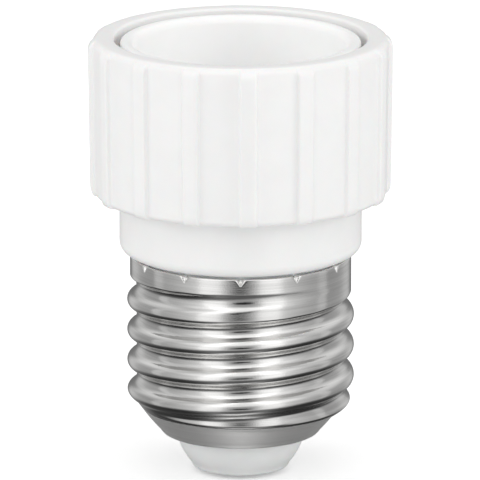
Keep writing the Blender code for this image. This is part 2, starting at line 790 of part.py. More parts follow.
def turned_screw(name, radius, length, head_r, head):
    """Pan-head screw standing on its tip at the origin, with a cross recess."""
    outline = [
        (0.0, 0.0),
        (0.4 * radius, 0.0),
        (radius, 1.2 * radius),
        (radius, length),
        (head_r, length),
        (head_r, length + 0.5 * head),
        (0.9 * head_r, length + 0.85 * head),
        (0.6 * head_r, length + head),
        (0.0, length + head),
    ]
    screw = dressed(lathe(name, outline, SMALL_STEPS, closed=False), ZINC)
    half = RECESS_WIDTH / 2
    arm = 0.55 * head_r
    cross = [(arm, -half), (arm, half), (half, half), (half, arm), (-half, arm), (-half, half)]
    cross += half_turn(cross)
    top = length + head
    cutter = prisms(name + "_recess", [cross], top - RECESS_DEPTH, top + CLEAR)
    cutter.parent = screw
    boolean(screw, cutter, "DIFFERENCE")
    return screw


def make_screws():
    head_z = FLOOR_Z - INSERT_SCREW_HEAD - CLEAR
    for side, sign in (("front", -1), ("back", 1)):
        name = "insert_screw_" + side
        screw = turned_screw(
            name, INSERT_SCREW_R, INSERT_SCREW_LENGTH, INSERT_SCREW_HEAD_R, INSERT_SCREW_HEAD
        )
        screw.location = (0.0, sign * INSERT_SCREW_POS, head_z - INSERT_SCREW_LENGTH)
    screw = turned_screw(
        "plate_screw", PLATE_SCREW_R, PLATE_SCREW_LENGTH, PLATE_SCREW_HEAD_R, PLATE_SCREW_HEAD
    )
    screw.rotation_euler.x = math.pi
    screw.location.z = PLATE_Z - PLATE - CLEAR + PLATE_SCREW_LENGTH


def contact_mesh():
    """Bent spring strip of the right-hand contact: tab, outer leg and a hairpin finger."""
    low = PLATE_Z + CLEAR + STRIP / 2
    high = CEILING_Z - CLEAR - STRIP / 2
    bulge = PIN_SPACING / 2 + PIN_HEAD_R + FINGER_CLEAR + STRIP / 2
    leg = bulge + HAIRPIN
    head_z = FLOOR_Z - PIN_LENGTH + 0.5 * PIN_HEAD_R
    bend = HAIRPIN / 3
    path = [
        (RIVET_POS - TERMINAL_R - CLEAR, low),
        (leg - bend, low),
        (leg - 0.3 * bend, low + 0.3 * bend),
        (leg, low + bend),
        (leg, high - bend),
        (leg - 0.3 * bend, high - 0.3 * bend),
        (leg - bend, high),
        (leg - 1.7 * bend, high - 0.3 * bend),
        (leg - 2 * bend, high - bend),
        (bulge, head_z),
        (bulge + bend, head_z - 3 * bend),
    ]
    outline = offset_path(path, STRIP / 2) + offset_path(path, -STRIP / 2)[::-1]
    bm = bmesh.new()
    face = bm.faces.new([bm.verts.new((u, -STRIP_WIDTH / 2, z)) for u, z in outline])
    pulled = bmesh.ops.extrude_face_region(bm, geom=[face])["geom"]
    moved = [item for item in pulled if isinstance(item, bmesh.types.BMVert)]
    bmesh.ops.translate(bm, verts=moved, vec=(0.0, STRIP_WIDTH, 0.0))
    return from_bmesh("contact_right", bm)


def hull_outline(first, first_r, second, second_r):
    """Outline of a flat lug: two circles joined by their outer tangents."""
    gap = second - first
    lean = math.degrees(math.acos((first_r - second_r) / gap.length))
    heading = math.degrees(math.atan2(gap.y, gap.x))
    outline = arc((first.x, first.y), first_r, heading + lean, heading + 360 - lean, 10)
    return outline + arc((second.x, second.y), second_r, heading - lean, heading + lean, 6)


def make_contacts():
    """Spring contacts, their rivets and the lead terminals, one set on each side."""
    plate_low = PLATE_Z - PLATE
    ring_high = plate_low - CLEAR
    ring_low = ring_high - TERMINAL
    x, y = rivet_place()
    for side, turn in (("right", 0.0), ("left", math.pi)):
        contact = dressed(contact_mesh(), NICKEL)
        contact.name = "contact_" + side
        contact.rotation_euler.z = CONTACT_TURN + turn
        low = PLATE_Z + CLEAR
        hole = prisms("strip_hole_" + side, [circle(RIVET_POS, 0.0, RIVET_R + CLEAR)], low - CLEAR, low + 2 * STRIP)
        hole.parent = contact
        boolean(contact, hole, "DIFFERENCE")

        top = low + STRIP + CLEAR
        foot = ring_low - CLEAR
        outline = [
            (0.0, foot - RIVET_HEAD),
            (0.7 * RIVET_HEAD_R, foot - RIVET_HEAD),
            (RIVET_HEAD_R, foot - 0.4 * RIVET_HEAD),
            (RIVET_HEAD_R, foot),
            (RIVET_R, foot),
            (RIVET_R, top),
            (RIVET_HEAD_R, top),
            (RIVET_HEAD_R, top + 0.4 * RIVET_HEAD),
            (0.7 * RIVET_HEAD_R, top + RIVET_HEAD),
            (0.0, top + RIVET_HEAD),
        ]
        rivet = dressed(lathe("contact_rivet_" + side, outline, SMALL_STEPS, closed=False), BRASS)
        rivet.location = polar(RIVET_POS, CONTACT_TURN + turn)

        lug = hull_outline(Vector((x, y, 0.0)), TERMINAL_R, BARREL_POS, BARREL_R)
        terminal = dressed(prisms("terminal_" + side, [lug], ring_low, ring_high), BRASS)
        terminal.rotation_euler.z = turn
        end = ring_high - BARREL_LENGTH
        middle = (ring_low + ring_high) / 2
        place = (BARREL_POS.x, BARREL_POS.y)
        barrel = prisms("barrel_" + side, [circle(*place, BARREL_R)], end, middle)
        bore = prisms("barrel_bore_" + side, [circle(*place, WIRE_R + CLEAR)], end - CLEAR, ring_high + CLEAR)
        eye = prisms("terminal_eye_" + side, [circle(x, y, RIVET_R + CLEAR)], ring_low - CLEAR, ring_high + CLEAR)
        for other, operation in ((barrel, "UNION"), (bore, "DIFFERENCE"), (eye, "DIFFERENCE")):
            other.parent = terminal
            boolean(terminal, other, operation)
    return ring_high - BARREL_LENGTH


def make_leads(barrel_low, contact_top):
    """The two sleeved leads, from the terminals to the centre contact and to the screw shell."""
    grip = Vector((0.0, 0.0, WIRE_GRIP))
    start = BARREL_POS + UP * barrel_low
    below = start - UP * SLEEVE_START

    # Centre lead, from the left-hand terminal down the axis into the contact's stem
    left = Vector((-below.x, -below.y, below.z))
    well = contact_top + LEAD_DROP
    down = [
        left,
        Vector((0.75 * left.x, 0.8 * left.y, blend(left.z, well, 0.25))),
        Vector((0.3 * left.x, 0.0, blend(left.z, well, 0.6))),
        Vector((0.0, 0.0, well)),
        Vector((0.0, 0.0, contact_top + CLEAR)),
    ]
    route = smooth_route(down, 3)
    foot = Vector((0.0, 0.0, CONTACT_HEAD + 2 * CLEAR))
    wire_route = [left + UP * SLEEVE_START + grip, *route, foot]
    dressed(wire("centre_lead", wire_route, WIRE_R), COPPER)
    dressed(sleeve("centre_lead_sleeve", route), SILICONE)

    # Shell lead, from the right-hand terminal through the skirt's slot to the inside of the cap
    lay = BAND_R - SHEET - CLEAR - WIRE_R
    bend_z = SKIRT_Z + SLOT_HEIGHT / 3
    inside = THREAD_ROOT_R - SHEET - CLEAR - SKIRT_WALL
    last = polar(inside - SLEEVE_STOP, SLOT_TURN, bend_z)
    bow = Vector((0.0, LEAD_BOW, 0.0))
    route = smooth_route([below, blend(below, last, 0.5) + bow, last], 4)
    bare = [
        polar(lay - LEAD_BEND, SLOT_TURN, bend_z),
        polar(lay, SLOT_TURN, bend_z + LEAD_BEND),
        polar(lay, SLOT_TURN, SKIRT_Z + SLOT_HEIGHT - WIRE_R),
    ]
    wire_route = [below + UP * SLEEVE_START + grip, *route, *bare]
    dressed(wire("shell_lead", wire_route, WIRE_R), COPPER)
    dressed(sleeve("shell_lead_sleeve", route), SILICONE)


def main():
    clear_scene()
    make_outer_body()
    make_socket_insert()
    make_base_plate()
    make_screws()
    barrel_low = make_contacts()
    make_screw_shell()
    make_tip_insulator()
    contact_top = make_centre_contact()
    make_leads(barrel_low, contact_top)


main()
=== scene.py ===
"""Looks of a lamp socket adapter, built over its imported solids.

What shows from outside is rebuilt with finer meshes, and so are the cup, its screws and the centre
contact. The other nodes keep their own. Every piece gets a procedural finish. Metres, +Z up, the
front is -Y.
"""

import logging
import math
from collections.abc import Iterable, Sequence
from dataclasses import dataclass, field
from enum import Enum

import bmesh
import bpy
from mathutils import Matrix, Vector


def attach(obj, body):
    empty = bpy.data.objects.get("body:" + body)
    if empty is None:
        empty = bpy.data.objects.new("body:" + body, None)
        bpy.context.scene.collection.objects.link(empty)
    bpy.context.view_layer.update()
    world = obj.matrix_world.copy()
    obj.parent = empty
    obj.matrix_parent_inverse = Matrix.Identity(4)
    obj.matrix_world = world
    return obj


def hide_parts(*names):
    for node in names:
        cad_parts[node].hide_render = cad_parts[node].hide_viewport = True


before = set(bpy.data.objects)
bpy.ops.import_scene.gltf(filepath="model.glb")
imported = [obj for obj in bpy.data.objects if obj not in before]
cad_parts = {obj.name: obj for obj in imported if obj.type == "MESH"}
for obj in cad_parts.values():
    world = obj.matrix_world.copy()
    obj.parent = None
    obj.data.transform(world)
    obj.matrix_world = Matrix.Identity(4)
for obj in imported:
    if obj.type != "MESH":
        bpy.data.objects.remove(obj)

MM = 0.001
BODY = "root"
FRONT = -math.pi / 2
SHARP = math.radians(40)
LEVEL = 0.005 * MM
CURVE_TOP = 2.0
WHITE = (1.0, 1.0, 1.0, 1.0)

Colour = tuple[float, float, float]
Point = tuple[float, float]
Inputs = dict[str | int, object]
Object = bpy.types.Object
Socket = bpy.types.NodeSocket
log = logging.getLogger("adapter")


class Slot(Enum):
    """The record's material slots, and a finish of their own for the cup and the cap's cone. The cup's is
    the housing's white made lighter, as painted light for the shade inside the cup. The cone's is a satin
    nickel made lighter than the nickel, partly its own satin finish and partly painted light that lifts its
    dark reflection.
    """

    HOUSING = "housing"
    HOUSING_PAINTED_LIGHT = "housing_inner"
    TIP = "tip"
    FIBRE = "fibre"
    NICKEL = "nickel"
    NICKEL_SATIN_PAINTED_LIGHT = "nickel_satin"
    BRASS = "brass"
    ZINC = "zinc"
    COPPER = "copper"
    SILICONE = "silicone"


class Grain(Enum):
    """How a surface's texture runs: as even grain, or as lines round the axis."""

    EVEN = (1.0, 1.0)
    ROLLED = (0.12, 9.0)
    TURNED = (0.3, 4.0)


def ease(value: float) -> float:
    """Smooth step from 0 to 1, for a share of the way of any size."""
    value = min(max(value, 0.0), 1.0)
    return value * value * (3.0 - 2.0 * value)


def blend(low: float, high: float, share: float) -> float:
    """Value at a share of the way from low to high."""
    return low + (high - low) * share


def polar(radius: float, angle: float, z: float) -> Vector:
    """Point at a radius from the axis, at an angle from +X and at a height."""
    return Vector((radius * math.cos(angle), radius * math.sin(angle), z))


def arc(centre: Point, radius: float, start: float, end: float, steps: int) -> list[Point]:
    """Points on an arc between two angles in degrees, both ends included."""
    angles = [math.radians(blend(start, end, i / steps)) for i in range(steps + 1)]
    return [(centre[0] + radius * math.cos(a), centre[1] + radius * math.sin(a)) for a in angles]


def quarter(steps: int) -> list[Point]:
    """Pairs of (sine, cosine) at even steps over a quarter turn, both ends included."""
    angles = [math.pi / 2 * i / steps for i in range(steps + 1)]
    return [(math.sin(a), math.cos(a)) for a in angles]


def offset_path(points: Sequence[Point], distance: float) -> list[Point]:
    """A path moved sideways, to the right of its direction when the distance is positive.

    Args:
        points: The path.
        distance: How far it moves.

    Returns:
        The moved path, with as many points.
    """
    moved = []
    for i, (u, v) in enumerate(points):
        before = points[max(i - 1, 0)]
        after = points[min(i + 1, len(points) - 1)]
        du, dv = after[0] - before[0], after[1] - before[1]
        size = math.hypot(du, dv)
        moved.append((u + distance * dv / size, v - distance * du / size))
    return moved


@dataclass
class RingMesh:
    """A closed mesh skinned through rings of points round the axis."""

    name: str
    mesh: bmesh.types.BMesh = field(default_factory=bmesh.new)
    rings: list[list[bmesh.types.BMVert]] = field(default_factory=list)

    def add(self, points: Iterable[Vector]) -> None:
        """Adds one ring of points in order."""
        self.rings.append([self.mesh.verts.new(point) for point in points])

    def _skin(self, first: list[bmesh.types.BMVert], second: list[bmesh.types.BMVert]) -> None:
        """Faces between two rings of equal count, or of two to one.

        Args:
            first: One ring.
            second: The next ring.
        """
        if len(first) < len(second):
            first, second = second, first
        ratio = len(first) // len(second)
        for i, start in enumerate(second):
            end = second[(i + 1) % len(second)]
            run = [first[(i * ratio + k) % len(first)] for k in range(ratio + 1)]
            if ratio == 2:
                self.mesh.faces.new((run[0], run[1], start))
                run = run[1:]
            self.mesh.faces.new((run[0], run[1], end, start))

    def close(self, capped: bool = False) -> Object:
        """Closes the mesh.

        Args:
            capped: Whether the first and last rings get a flat face each, and aren't joined.

        Returns:
            The finished object.
        """
        if capped:
            self.mesh.faces.new(self.rings[0])
            self.mesh.faces.new(self.rings[-1])
        following = self.rings[1:] if capped else self.rings[1:] + self.rings[:1]
        for first, second in zip(self.rings, following):
            self._skin(first, second)
        return linked(self.name, self.mesh)


def placed(name: str, data: bpy.types.ID) -> Object:
    """Puts a mesh, a lamp or a camera into the scene.

    Args:
        name: Name of the object.
        data: The mesh, the lamp or the camera.

    Returns:
        The object.
    """
    made = bpy.data.objects.new(name, data)
    bpy.context.scene.collection.objects.link(made)
    return made


def linked(name: str, mesh: bmesh.types.BMesh) -> Object:
    """Turns a bmesh into an object of the scene, with its faces outward.

    Args:
        name: Name of the object.
        mesh: The mesh, which is used up.

    Returns:
        The object.
    """
    bmesh.ops.recalc_face_normals(mesh, faces=mesh.faces)
    data = bpy.data.meshes.new(name)
    mesh.to_mesh(data)
    mesh.free()
    return placed(name, data)


def turned(name: str, path: Sequence[Point], columns: int, capped: bool = False) -> Object:
    """Turns an outline about the axis.

    Args:
        name: Name of the object.
        path: Points of (radius, z).
        columns: Columns round the axis.
        capped: Whether its first and last rings are closed by flat faces.

    Returns:
        The object.
    """
    mesh = RingMesh(name)
    for radius, z in path:
        mesh.add(polar(radius, math.tau * i / columns, z) for i in range(columns))
    return mesh.close(capped)


def prism(outlines: Sequence[Sequence[Point]], low: float, high: float) -> Object:
    """Straight prisms that stand on the same plane, as one object.

    Args:
        outlines: Outlines of (x, y) points.
        low: Height of the foot.
        high: Height of the top.

    Returns:
        The object.
    """
    mesh = bmesh.new()
    for outline in outlines:
        foot = [mesh.verts.new((x, y, low)) for x, y in outline]
        top = [mesh.verts.new((x, y, high)) for x, y in outline]
        mesh.faces.new(foot)
        mesh.faces.new(top)
        for i, corner in enumerate(foot):
            mesh.faces.new((foot[i - 1], corner, top[i], top[i - 1]))
    return linked("cutter", mesh)


def combine(piece: Object, other: Object, operation: str) -> None:
    """Applies a Boolean of another object, which is used up.

    Args:
        piece: The object that is changed.
        other: The other object.
        operation: UNION or DIFFERENCE.
    """
    modifier = piece.modifiers.new(operation, "BOOLEAN")
    modifier.operation = operation
    modifier.solver = "EXACT"
    modifier.object = other
    graph = bpy.context.evaluated_depsgraph_get()
    data = bpy.data.meshes.new_from_object(piece.evaluated_get(graph))
    piece.modifiers.clear()
    piece.data = data
    bpy.data.objects.remove(other, do_unlink=True)


def mirrored(outline: Sequence[Point]) -> list[Point]:
    """An outline turned by half a turn about the axis."""
    return [(-x, -y) for x, y in outline]


def soften(piece: Object, z: float, width: float) -> None:
    """Rounds the sharp edges that lie on a level face.

    Args:
        piece: The object that is changed.
        z: Height of the face.
        width: Width of the round.
    """
    mesh = bmesh.new()
    mesh.from_mesh(piece.data)
    edges = [
        edge
        for edge in mesh.edges
        if all(abs(vert.co.z - z) < LEVEL for vert in edge.verts) and edge.calc_face_angle(0.0) > SHARP
    ]
    bmesh.ops.bevel(
        mesh, geom=edges, offset=width, segments=3, profile=0.5, affect="EDGES", clamp_overlap=True
    )
    mesh.to_mesh(piece.data)
    mesh.free()


@dataclass
class Part:
    """A sub-assembly, with the materials that its pieces take their finish from."""

    materials: dict[Slot, bpy.types.Material]

    def dress(self, piece: Object, slot: Slot, *nodes: str, sharp: float = SHARP) -> Object:
        """Gives a piece its finish and lets it stand for its CAD nodes.

        Args:
            piece: The piece.
            slot: The material slot it takes its finish from.
            *nodes: Names of the CAD nodes that it replaces.
            sharp: Angle over which an edge stays sharp.

        Returns:
            The piece.
        """
        piece.data.shade_smooth()
        piece.data.set_sharp_from_angle(angle=sharp)
        piece.data.materials.clear()
        piece.data.materials.append(self.materials[slot])
        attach(piece, BODY)
        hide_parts(*nodes)
        return piece


@dataclass
class Tree:
    """Short hand for building a shader node tree."""

    tree: bpy.types.NodeTree

    def feed(self, node: bpy.types.Node, inputs: Inputs) -> None:
        """Gives a node its inputs: a socket is linked, and anything else is a constant.

        Args:
            node: The node.
            inputs: Sockets and constants by the input's name or number.
        """
        for place, value in inputs.items():
            if isinstance(value, Socket):
                self.tree.links.new(value, node.inputs[place])
            else:
                node.inputs[place].default_value = value

    def node(self, kind: str, inputs: Inputs | None = None, **settings: object) -> bpy.types.Node:
        """Adds a node.

        Args:
            kind: Node type, without its ShaderNode prefix.
            inputs: Sockets and constants by the input's name or number.
            **settings: Attributes to set on it.

        Returns:
            The new node.
        """
        made = self.tree.nodes.new("ShaderNode" + kind)
        for name, value in settings.items():
            setattr(made, name, value)
        self.feed(made, inputs or {})
        return made

    def math(self, operation: str, first: Socket, second: object = 0.0) -> Socket:
        """Result of a Math node of one or two values."""
        return self.node("Math", {0: first, 1: second}, operation=operation).outputs[0]

    def mix(self, share: object, low: object, high: object, kind: str = "FLOAT") -> Socket:
        """Result of a Mix node of two values or, with the kind RGBA, of two colours."""
        return self.node("Mix", {"Factor": share, "A": low, "B": high}, data_type=kind).outputs["Result"]

    def noise(self, place: Socket, scale: Socket, detail: float) -> Socket:
        """Value of a noise texture."""
        return self.node("TexNoise", {"Vector": place, "Scale": scale, "Detail": detail}).outputs["Fac"]

    def seen(self) -> Socket:
        """1 for rays from the eye, straight or through glass, and 0 for others."""
        path = self.node("LightPath").outputs
        return self.math("MAXIMUM", path["Is Camera Ray"], path["Is Transmission Ray"])

    def remap(
        self, value: Socket, source: Sequence[object], target: Point = (0.0, 1.0), kind: str = "LINEAR"
    ) -> Socket:
        """Value moved from the source range to the target range, and kept within it."""
        limits = zip(("From Min", "From Max", "To Min", "To Max"), (*source, *target))
        return self.node("MapRange", {"Value": value, **dict(limits)}, interpolation_type=kind).outputs[0]

    def curve(self, value: Socket, stops: Sequence[Point]) -> Socket:
        """Turns a value into a tone by a smooth curve.

        Args:
            value: The value.
            stops: Pairs of (value, tone) in order.

        Returns:
            The tone.
        """
        low, high = stops[0][0], stops[-1][0]
        made = self.node("FloatCurve", {"Value": self.remap(value, (low, high))})
        curve = made.mapping.curves[0]
        places = [((place - low) / (high - low), tone / CURVE_TOP) for place, tone in stops]
        curve.points[0].location = places[0]
        curve.points[1].location = places[-1]
        for place in places[1:-1]:
            curve.points.new(*place)
        for point in curve.points:
            point.handle_type = "AUTO_CLAMPED"
        made.mapping.update()
        return self.math("MULTIPLY", made.outputs[0], CURVE_TOP)


def shared_group(
    name: str, inputs: dict[str, float], outputs: Sequence[str]
) -> tuple[Tree, bpy.types.NodeOutputs, bpy.types.Node]:
    """Makes a shader node group with a Vector input, float inputs and float outputs.

    Args:
        name: Name of the group.
        inputs: Float inputs with their defaults.
        outputs: Names of the float outputs.

    Returns:
        The group's tree, what its input node gives, and its output node.
    """
    group = bpy.data.node_groups.new(name, "ShaderNodeTree")
    group.interface.new_socket("Vector", in_out="INPUT", socket_type="NodeSocketVector")
    for label, default in inputs.items():
        socket = group.interface.new_socket(label, in_out="INPUT", socket_type="NodeSocketFloat")
        socket.default_value = default
    for label in outputs:
        group.interface.new_socket(label, in_out="OUTPUT", socket_type="NodeSocketFloat")
    return Tree(group), group.nodes.new("NodeGroupInput").outputs, group.nodes.new("NodeGroupOutput")


class Effects:
    """Node groups that the finishes share, each built once."""

    GRAIN = {"Round": 1.0, "Along": 1.0, "Coarse": 300.0, "Fine": 4000.0, "Speck": 6000.0, "Speckled": 0.0}
    WEAR = {"Breakup": 900.0, "Start": 0.52, "End": 0.6}
    CONTRAST = (0.32, 0.68)
    COARSE_SHARE = 0.6
    FINE_SHARE = 0.4

    def __init__(self) -> None:
        """Builds the groups."""
        self.grain = self._grain()
        self.wear = self._wear()

    def _grain(self) -> bpy.types.NodeTree:
        """Grain at two scales, which can be drawn out round the axis, with even specks over it.

        Returns:
            The group, with Tone for colour and roughness and Height for bump.
        """
        tree, given, made = shared_group("surface grain", self.GRAIN, ("Tone", "Height"))
        x, y, z = tree.node("SeparateXYZ", {0: given["Vector"]}).outputs
        axes = ((x, "Round"), (y, "Round"), (z, "Along"))
        drawn = {i: tree.math("MULTIPLY", axis, given[scale]) for i, (axis, scale) in enumerate(axes)}
        place = tree.node("CombineXYZ", drawn).outputs[0]
        coarse = tree.noise(place, given["Coarse"], detail=3.0)
        fine = tree.noise(place, given["Fine"], detail=2.0)
        speck = tree.noise(given["Vector"], given["Speck"], detail=1.0)
        height = tree.mix(given["Speckled"], fine, speck)
        small = tree.math("MULTIPLY", height, self.FINE_SHARE)
        large = tree.math("MULTIPLY", tree.remap(coarse, self.CONTRAST), self.COARSE_SHARE)
        tree.feed(made, {"Tone": tree.math("ADD", small, large), "Height": height})
        return tree.tree

    def _wear(self) -> bpy.types.NodeTree:
        """Where an edge is rubbed: sharp outer edges, broken up by noise.

        Returns:
            The group, with Mask from 0 to 1.
        """
        tree, given, made = shared_group("edge wear", self.WEAR, ("Mask",))
        pointed = tree.node("NewGeometry").outputs["Pointiness"]
        edge = tree.remap(pointed, (given["Start"], given["End"]))
        noise = tree.noise(given["Vector"], given["Breakup"], detail=2.0)
        tree.feed(made, {"Mask": tree.math("MULTIPLY", edge, noise)})
        return tree.tree


@dataclass(frozen=True)
class Finish:
    """One finish: its colours, its gloss and the grain that varies them."""

    slot: Slot
    colour: Colour
    shade: Colour
    roughness: float
    spread: float
    metallic: float = 0.0
    grain: Grain = Grain.EVEN
    coarse: float = 300.0
    fine: float = 4000.0
    speckled: float = 0.0
    bump: float = 0.02
    depth: float = 0.02 * MM
    worn: Colour | None = None
    subsurface: float = 0.0
    scatter: float = 1.5 * MM

    def material(self, effects: Effects) -> bpy.types.Material:
        """Builds the procedural material.

        Args:
            effects: The shared node groups.

        Returns:
            The material.
        """
        material = bpy.data.materials.new(self.slot.value + "_finish")
        material.use_nodes = True
        tree = Tree(material.node_tree)
        place = tree.node("TexCoord").outputs["Object"]
        around, along = self.grain.value
        settings = {"Vector": place, "Round": around, "Along": along, "Speckled": self.speckled}
        settings |= {"Coarse": self.coarse, "Fine": self.fine}
        grain = tree.node("Group", settings, node_tree=effects.grain).outputs
        base = tree.mix(grain["Tone"], (*self.shade, 1.0), (*self.colour, 1.0), "RGBA")
        if self.worn is not None:
            rubbed = tree.node("Group", {"Vector": place}, node_tree=effects.wear).outputs["Mask"]
            base = tree.mix(rubbed, base, (*self.worn, 1.0), "RGBA")
        gloss = (self.roughness + self.spread, self.roughness - self.spread)
        relief = {"Strength": self.bump, "Distance": self.depth, "Height": grain["Height"]}
        surface = {
            "Base Color": base,
            "Metallic": self.metallic,
            "Roughness": tree.remap(grain["Tone"], (0.0, 1.0), gloss),
            "Normal": tree.node("Bump", relief).outputs[0],
            "Subsurface Weight": self.subsurface,
            "Subsurface Scale": self.scatter,
        }
        tree.feed(material.node_tree.nodes["Principled BSDF"], surface)
        return material


FINISHES: tuple[Finish, ...] = (
    Finish(Slot.HOUSING, (0.88, 0.88, 0.875), (0.85, 0.85, 0.845), 0.34, 0.04, bump=0.25, subsurface=0.1),
    # The cup's finish: the housing's white made lighter, painted light for the shade inside the cup.
    Finish(
        Slot.HOUSING_PAINTED_LIGHT, (0.94, 0.94, 0.935), (0.92, 0.92, 0.915), 0.34, 0.04, bump=0.25, subsurface=0.1
    ),
    Finish(Slot.TIP, (0.84, 0.85, 0.845), (0.8, 0.81, 0.805), 0.38, 0.05, bump=0.25, subsurface=0.1),
    Finish(Slot.FIBRE, (0.56, 0.53, 0.46), (0.42, 0.38, 0.31), 0.8, 0.08, coarse=900.0, bump=0.5),
    Finish(
        Slot.NICKEL, (0.86, 0.855, 0.845), (0.64, 0.635, 0.625), 0.1, 0.05,
        metallic=1.0, grain=Grain.ROLLED, coarse=350.0, fine=1800.0, speckled=0.45,
        bump=0.25, depth=0.03 * MM, worn=(0.86, 0.85, 0.83),
    ),
    # The cone's finish: satin, less metallic and lighter than the nickel; partly its own satin finish,
    # partly painted light that lifts the cone's dark reflection.
    Finish(
        Slot.NICKEL_SATIN_PAINTED_LIGHT, (0.9, 0.895, 0.885), (0.78, 0.775, 0.765), 0.4, 0.06,
        metallic=0.75, grain=Grain.ROLLED, coarse=350.0, fine=1800.0, speckled=0.6,
        bump=0.3, depth=0.03 * MM,
    ),
    Finish(
        Slot.BRASS, (0.76, 0.58, 0.28), (0.6, 0.43, 0.18), 0.3, 0.08,
        metallic=1.0, coarse=700.0, bump=0.15, worn=(0.9, 0.76, 0.45),
    ),
    Finish(
        Slot.ZINC, (0.68, 0.7, 0.72), (0.52, 0.54, 0.58), 0.3, 0.1,
        metallic=1.0, grain=Grain.TURNED, coarse=600.0, bump=0.2, worn=(0.82, 0.83, 0.84),
    ),
    Finish(
        Slot.COPPER, (0.84, 0.5, 0.33), (0.6, 0.32, 0.2), 0.3, 0.08,
        metallic=1.0, grain=Grain.TURNED, coarse=900.0, bump=0.2,
    ),
    Finish(
        Slot.SILICONE, (0.82, 0.8, 0.74), (0.7, 0.67, 0.6), 0.55, 0.08,
        coarse=800.0, bump=0.35, subsurface=0.1,
    ),
)


